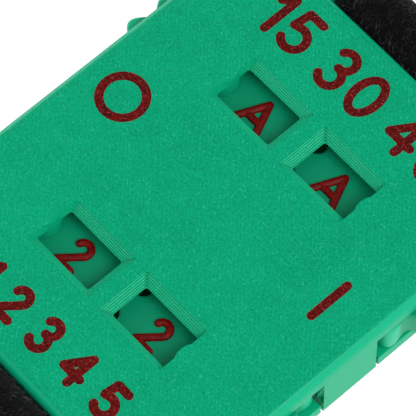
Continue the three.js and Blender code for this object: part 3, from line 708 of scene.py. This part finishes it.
def inlayPair(node, maker):
    # maker(spread, shape) gives the grids of the red character and of the skin that closes round it
    surfacePiece(node + "_collar", maker(lettering["collarSpread"], collarShape), caseGreen, "case")
    surfacePiece(node + "_inlay", maker(lettering["inlaySpread"], inlayShape), inlayRed, "case",
                 [node])


for rowName in ("topRow", "bottomRow"):
    look = lettering[rowName]
    nodeStart = rowName.replace("Row", "_row") + "_numeral_"
    row = rowOffsets(look["text"], look["height"], lettering["rowStroke"])
    for index, (character, x, y) in enumerate(row):
        inlayPair(nodeStart + str(index + 1), lambda spread, shape: [
            moved(g, (x, y + look["y"]))
            for g in glyphGrids(character, look["height"], lettering["rowStroke"], spread, *shape)])
ringLook, barLook, rowHalf = lettering["ring"], lettering["bar"], lettering["rowStroke"] / 2
ringReach, barReach = ((look["height"] - lettering["rowStroke"]) / 2 for look in (ringLook, barLook))
inlayPair("ring_mark", lambda spread, shape: [
    ringStroke(ringLook["x"], ringLook["y"], ringReach, ringReach, rowHalf + spread, *shape)])
barLine = np.array([[barLook["x"], barLook["y"] - barReach], [barLook["x"], barLook["y"] + barReach]])
inlayPair("bar_mark", lambda spread, shape: [openStroke(barLine, rowHalf + spread, *shape)])
print("characters made")

# Strap
strapShape = {
    "width": 20.0, "thickness": 1.8, "pile": 0.28, "edgeRound": 0.6, "barY": 31.25, "barZ": 6.4,
    "wrapRadius": 2.3, "wristDrop": 42.5, "squareness": 2.5, "sewnLength": 20.0, "tailLength": 62.0,
    "plyGap": 0.3, "easeRadii": 4, "wristSteps": 16, "wrapSteps": 8, "fineStep": 0.6, "sectionStep": 1.6,
    "crease": 60, "weld": 1e-7,  # degrees, metres
    "wallThin": 0.8, "wallFrom": 0.2, "wallFade": 2,  # share of the pile pressed flat at the wall, mm
}
fuzzShape = {
    # mm, but the sweep in radians and the weld in metres
    "count": 8000, "seeds": (7, 8, 9), "swirl": (0.18, 0.55), "sweep": (1.2, 3.4), "rise": (0.05, 0.3),
    "radius": 0.03, "endShare": 0.5, "rings": 5, "endFree": 1.5, "edgeFree": 0.4, "weld": 1e-8,
    "wallFree": 29.0, "wallFoot": -1,  # none nearer the middle than this and above the foot of the wall
}
hookShape = {"width": 17.0, "length": 34.0, "thickness": 0.2, "endFree": 2.5, "clear": 0.03, "steps": 60}
stitchShape = {
    "rows": (3.0, 16.0), "halfWidth": 8.0, "count": 7, "fill": 0.72, "radius": 0.2, "steps": 10,
    "rise": 0.22, "sunk": 0.1, "roundness": 0.6, "endShare": 0.6, "crease": 80,
}


def wristLine(shape, steps, offset):
    # A quarter of a squared ellipse from the middle of the bottom up to the bar, moved outwards by offset
    angle = np.linspace(0, math.pi / 2, steps + 1)
    reach = shape["barY"] - shape["wrapRadius"]
    power = 2 / shape["squareness"]
    line = np.stack([reach * np.sin(angle) ** power,
                     shape["barZ"] - shape["wristDrop"] * np.cos(angle).clip(0) ** power], 1)
    if not offset:
        return line
    along = np.roll(line, -1, 0) - np.roll(line, 1, 0)
    along[0], along[-1] = line[1] - line[0], line[-1] - line[-2]
    along /= np.linalg.norm(along, axis=1)[:, None]
    return line + np.stack([along[:, 1], -along[:, 0]], 1) * offset


def outerPly(shape, length):
    # Over the bar in a half circle, then down outside the wrist ply until the length is used up
    angle = math.pi * (1 - np.arange(shape["wrapSteps"] + 1) / shape["wrapSteps"])
    line = [np.array([shape["barY"] + shape["wrapRadius"] * math.cos(a),
                      shape["barZ"] + shape["wrapRadius"] * math.sin(a)]) for a in angle]
    follow = wristLine(shape, shape["wristSteps"] * 2, shape["thickness"] + shape["plyGap"])[::-1]
    wide = 2 * shape["wrapRadius"] - shape["thickness"] - shape["plyGap"]
    left = length
    for point in follow[2:]:
        ease = min(1, (shape["barZ"] - point[1]) / (shape["wrapRadius"] * shape["easeRadii"]))
        following = point + [wide * (1 - ease) ** 2, 0]
        stride = np.linalg.norm(following - line[-1])
        if stride >= left:
            line.append(line[-1] + (following - line[-1]) * left / stride)
            break
        line.append(following)
        left -= stride
    return np.array(line)


def smoothed(line, spacing):
    # The line resampled at an even spacing on a spline through its points
    gaps = np.linalg.norm(np.diff(line, axis=0), axis=1)
    along = np.concatenate([[0], np.cumsum(gaps)])
    slope = np.gradient(line, along, axis=0)
    at = np.linspace(0, along[-1], max(int(along[-1] / spacing), 4))
    index = np.clip(np.searchsorted(along, at, side="right") - 1, 0, len(gaps) - 1)
    width = gaps[index][:, None]
    t = ((at - along[index]) / gaps[index])[:, None]
    start, end = line[index], line[index + 1]
    return ((2 * t ** 3 - 3 * t ** 2 + 1) * start + (t ** 3 - 2 * t ** 2 + t) * width * slope[index]
            + (3 * t ** 2 - 2 * t ** 3) * end + (t ** 3 - t ** 2) * width * slope[index + 1]), at


def strapRoute(shape):
    half = wristLine(shape, shape["wristSteps"], 0)
    mirror = np.array([-1, 1])
    sewn = (outerPly(shape, shape["sewnLength"]) * mirror)[::-1]
    tail = outerPly(shape, shape["tailLength"])
    return smoothed(np.concatenate([sewn[:-1], (half[1:] * mirror)[::-1], half, tail[1:]]), shape["fineStep"])


def strapSection(shape):
    # Once round a rounded rectangle: across the strap and out of it
    width, thickness, rounded = (shape[k] for k in ("width", "thickness", "edgeRound"))
    corners = [(1, 1, 0), (-1, 1, 1), (-1, -1, 2), (1, -1, 3)]
    points = [[sx * (width / 2 - rounded) + rounded * math.cos(a + q * math.pi / 2),
               sy * (thickness / 2 - rounded) + rounded * math.sin(a + q * math.pi / 2)]
              for sx, sy, q in corners for a in quarterArc]
    # more points along both wide faces
    fine = []
    for a, b in zip(points, points[1:] + points[:1]):
        count = max(int(math.dist(a, b) / shape["sectionStep"]), 1)
        fine += [[a[0] + (b[0] - a[0]) * i / count, a[1] + (b[1] - a[1]) * i / count] for i in range(count)]
    return np.array(fine)


route, routeLength = strapRoute(strapShape)
along = np.gradient(route, axis=0)
along /= np.linalg.norm(along, axis=1)[:, None]
outward = np.stack([-along[:, 1], along[:, 0]], 1)
strapLength, halfThick = float(routeLength[-1]), strapShape["thickness"] / 2


def onStrap(length, across, lift):
    # The point at a length along the strap and a place across it, lifted off its middle surface
    y, z, outY, outZ = (np.interp(length, routeLength, column) for column in (*route.T, *outward.T))
    return np.stack(np.broadcast_arrays(across, y + outY * lift, z + outZ * lift), axis=-1)


def outwardAt(length):
    outY, outZ = (np.interp(length, routeLength, column) for column in outward.T)
    return np.stack([np.zeros_like(outY), outY, outZ], axis=-1)


def pileDepth(shape):
    # Full everywhere but where the strap passes the case's end wall
    towardsWall = (-np.sign(route[:, 0]) * outward[:, 0]).clip(0)
    below = ((shape["barZ"] + shape["wallFrom"] - route[:, 1]) / shape["wallFade"]).clip(0, 1)
    return shape["pile"] * (1 - shape["wallThin"] * towardsWall * below)


def strapGrid(shape):
    # The section swept along the route; it thins to a rounded edge at both ends, and the pile
    # thickens it on its outward side only
    section = strapSection(shape)
    endDistance = np.minimum(routeLength, strapLength - routeLength)
    share = np.sqrt((1 - (1 - endDistance / halfThick).clip(0) ** 2).clip(0, 1))
    share[[0, -1]] = 0
    lift = section[None, :, 1] * share[:, None]
    lift = lift + (lift / halfThick).clip(0) * pileDepth(shape)[:, None]
    across = section[None, :, 0] * (1 - halfThick * (1 - share[:, None]) / (shape["width"] / 2))
    return onStrap(routeLength[:, None], across, lift), gridFaces(len(route), len(section), False, True)


def tubes(centre, normal, radius):
    # Tubes of three sides: centre and normal are (tube, ring, xyz), radius is (ring)
    sides = 3
    along = np.gradient(centre, axis=1)
    along /= np.linalg.norm(along, axis=2)[..., None]
    beside = np.cross(along, normal)
    turn = (np.arange(sides) / sides * 2 * math.pi)[:, None]
    points = centre[:, :, None] + radius[None, :, None, None] * (
        np.cos(turn) * normal[:, :, None] + np.sin(turn) * beside[:, :, None])
    one = gridFaces(centre.shape[1], sides, False, True)
    firstPoint = np.arange(len(centre)) * centre.shape[1] * sides
    return points, (one[None] + firstPoint[:, None, None]).reshape(-1, 4)


def threadRadius(look, share):
    # Thinner at both ends, share runs from 0 to 1 along the thread
    return look["radius"] * (look["endShare"] + (1 - look["endShare"]) * np.sin(math.pi * share))


def fuzzGrid(shape, look, seed):
    # Loops of the pile: each runs along an arc that lies on the strap and rises off it as half a sine
    dice = np.random.default_rng(seed)
    count, share = look["count"], np.linspace(0, 1, look["rings"])
    middle = dice.uniform(look["endFree"], strapLength - look["endFree"], count)
    y, z = (np.interp(middle, routeLength, column) for column in route.T)
    middle = middle[(abs(y) > look["wallFree"]) | (z < look["wallFoot"])]
    count = len(middle)
    swirl, sweep, rise = (dice.uniform(*look[k], count)[:, None] for k in ("swirl", "sweep", "rise"))
    turn = dice.uniform(0, 2 * math.pi, count)[:, None] + sweep * share
    side = shape["width"] / 2 - look["edgeFree"]
    across = (dice.uniform(-side, side, count)[:, None] + swirl * np.sin(turn)).clip(-side, side)
    length = middle[:, None] + swirl * np.cos(turn)
    depth = np.interp(length, routeLength, pileDepth(shape))
    lift = halfThick + depth - look["radius"] + rise * np.sin(math.pi * share)
    return tubes(onStrap(length, across, lift), outwardAt(length), threadRadius(look, share))


def hookGrid(look):
    # A thin slab under the tail's end, between the two plies
    end = strapLength - look["endFree"]
    length = np.linspace(end - look["length"], end, look["steps"])
    half, top = look["width"] / 2, -halfThick - look["clear"]
    corners = [(-half, top), (half, top), (half, top - look["thickness"]), (-half, top - look["thickness"])]
    across, lift = (np.array(column)[None] for column in zip(*corners))
    points = onStrap(length[:, None], across, lift)
    uv = np.stack(np.broadcast_arrays(across, length[:, None]), -1)
    return points, gridFaces(len(length), 4, False, True), uv


def stitchGrids(shape, look):
    # Two rows of stitches across the sewn end; each dips into the pile at its ends
    grids, pitch = [], 2 * look["halfWidth"] / look["count"]
    share = np.linspace(0, 1, look["steps"])
    arch = np.sin(math.pi * share) ** look["roundness"]
    for row in look["rows"]:
        for index in range(look["count"]):
            across = -look["halfWidth"] + pitch * (index + 0.5) + pitch * look["fill"] * (share - 0.5)
            lift = halfThick + shape["pile"] + look["rise"] * arch - look["sunk"]
            length = np.full_like(share, row)
            grids.append(tubes(onStrap(length, across, lift)[None], outwardAt(length)[None],
                               threadRadius(look, share)))
    return grids


strap = surfacePiece("strap_pile", [strapGrid(strapShape)], strapPile, "case", ["strap"],
                     strapShape["crease"], strapShape["weld"])
fuzz = [surfacePiece(f"strap_fuzz_{index + 1}", [fuzzGrid(strapShape, fuzzShape, seed)], strapFibre, "case",
                     weld=fuzzShape["weld"]) for index, seed in enumerate(fuzzShape["seeds"])]
hookPoints, hookFaces, hookUv = hookGrid(hookShape)
hooks = surfacePiece("strap_hook_patch", [(hookPoints, hookFaces)], blackHooks, "case",
                     uv=hookUv)
stitches = surfacePiece("strap_stitching", stitchGrids(strapShape, stitchShape), blackThread, "case",
                        crease=stitchShape["crease"])
print("strap length", round(strapLength, 1), "mm")

# Floor and light
floorLook = {"size": 3.0, "colour": (0.9, 0.9, 0.9, 1), "glowShare": 0.75, "glow": 1.15}
studioLook = {
    "low": 0.9, "high": 0.3, "lowEnd": 0.55, "highStart": 0.85,  # brightness, and heights as sines
    "keySide": (1.0, 0.0, 0.0), "keyShare": 0.35,  # where the tent is brighter, and by how much
    "softboxes": {  # azimuth and elevation in degrees, distance and size in metres, watts
        "rightSoftbox": (92, 54, 0.7, 0.4, 2.2), "frontSoftbox": (345, 50, 0.7, 0.4, 0.4),
        "leftSoftbox": (262, 12, 0.7, 0.4, 2.0),
    },
}


def whiteFloor(look):
    # A matt plane that partly glows for the rays of the camera and of reflections, so that it looks white
    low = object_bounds()[0].z
    mesh = bpy.data.meshes.new("floor")
    reach = look["size"] / 2
    corners = [(-reach, -reach, low), (reach, -reach, low), (reach, reach, low), (-reach, reach, low)]
    mesh.from_pydata(corners, [], [(0, 1, 2, 3)])
    recipe = Recipe("paleFloor")
    seen = recipe.nodes.new("ShaderNodeLightPath")
    straight = sum((Wire(recipe, seen.outputs[k]) for k in ("Is Glossy Ray", "Is Transmission Ray")),
                   Wire(recipe, seen.outputs["Is Camera Ray"]))
    matt = recipe.add("ShaderNodeBsdfDiffuse", {}, {"Color": look["colour"]})
    glow = recipe.add("ShaderNodeEmission", {}, {"Color": (1, 1, 1, 1), "Strength": look["glow"]})
    both = recipe.add("ShaderNodeMixShader", {}, {
        0: straight.clamped() * look["glowShare"], 1: matt, 2: glow})
    recipe.links.new(both.socket, recipe.output.inputs["Surface"])
    mesh.materials.append(recipe.material)
    floor = bpy.data.objects.new("floor", mesh)
    scene.collection.objects.link(floor)
    floor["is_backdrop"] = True


def softLight(name, azimuth, elevation, distance, size, power):
    # An area light that looks at the case from a direction given as the camera's is
    a, e = math.radians(azimuth), math.radians(elevation)
    back = Vector((math.sin(a) * math.cos(e), -math.cos(a) * math.cos(e), math.sin(e)))
    data = bpy.data.lights.new(name, "AREA")
    data.shape, data.size, data.energy = "DISK", size, power
    light = bpy.data.objects.new(name, data)
    turn = back.to_track_quat("Z", "Y").to_matrix().to_4x4()
    light.matrix_world = Matrix.Translation(back * distance) @ turn
    scene.collection.objects.link(light)


def studioWorld(look):
    # White round the horizon and dim overhead, as in a tent lit from its sides, brighter on one side
    world = bpy.data.worlds.new("studio")
    scene.world = world
    world.use_nodes = True
    nodes, links = world.node_tree.nodes, world.node_tree.links
    direction = nodes.new("ShaderNodeTexCoord")
    split = nodes.new("ShaderNodeSeparateXYZ")
    links.new(direction.outputs["Generated"], split.inputs[0])
    dim = nodes.new("ShaderNodeMapRange")
    dim.interpolation_type = "SMOOTHSTEP"
    for key, value in (("From Min", look["lowEnd"]), ("From Max", look["highStart"]),
                       ("To Min", look["low"]), ("To Max", look["high"])):
        dim.inputs[key].default_value = value
    links.new(split.outputs["Z"], dim.inputs["Value"])
    towards = nodes.new("ShaderNodeVectorMath")
    towards.operation = "DOT_PRODUCT"
    links.new(direction.outputs["Generated"], towards.inputs[0])
    towards.inputs[1].default_value = look["keySide"]
    side = nodes.new("ShaderNodeMath")
    side.operation = "MULTIPLY_ADD"
    links.new(towards.outputs["Value"], side.inputs[0])
    side.inputs[1].default_value, side.inputs[2].default_value = look["keyShare"], 1
    strength = nodes.new("ShaderNodeMath")
    strength.operation = "MULTIPLY"
    links.new(dim.outputs[0], strength.inputs[0])
    links.new(side.outputs[0], strength.inputs[1])
    background = nodes["Background"]
    background.inputs["Color"].default_value = (1, 1, 1, 1)
    links.new(strength.outputs[0], background.inputs["Strength"])


whiteFloor(floorLook)
for lightName, lightPlace in studioLook["softboxes"].items():
    softLight(lightName, *lightPlace)
studioWorld(studioLook)
print("stage set")
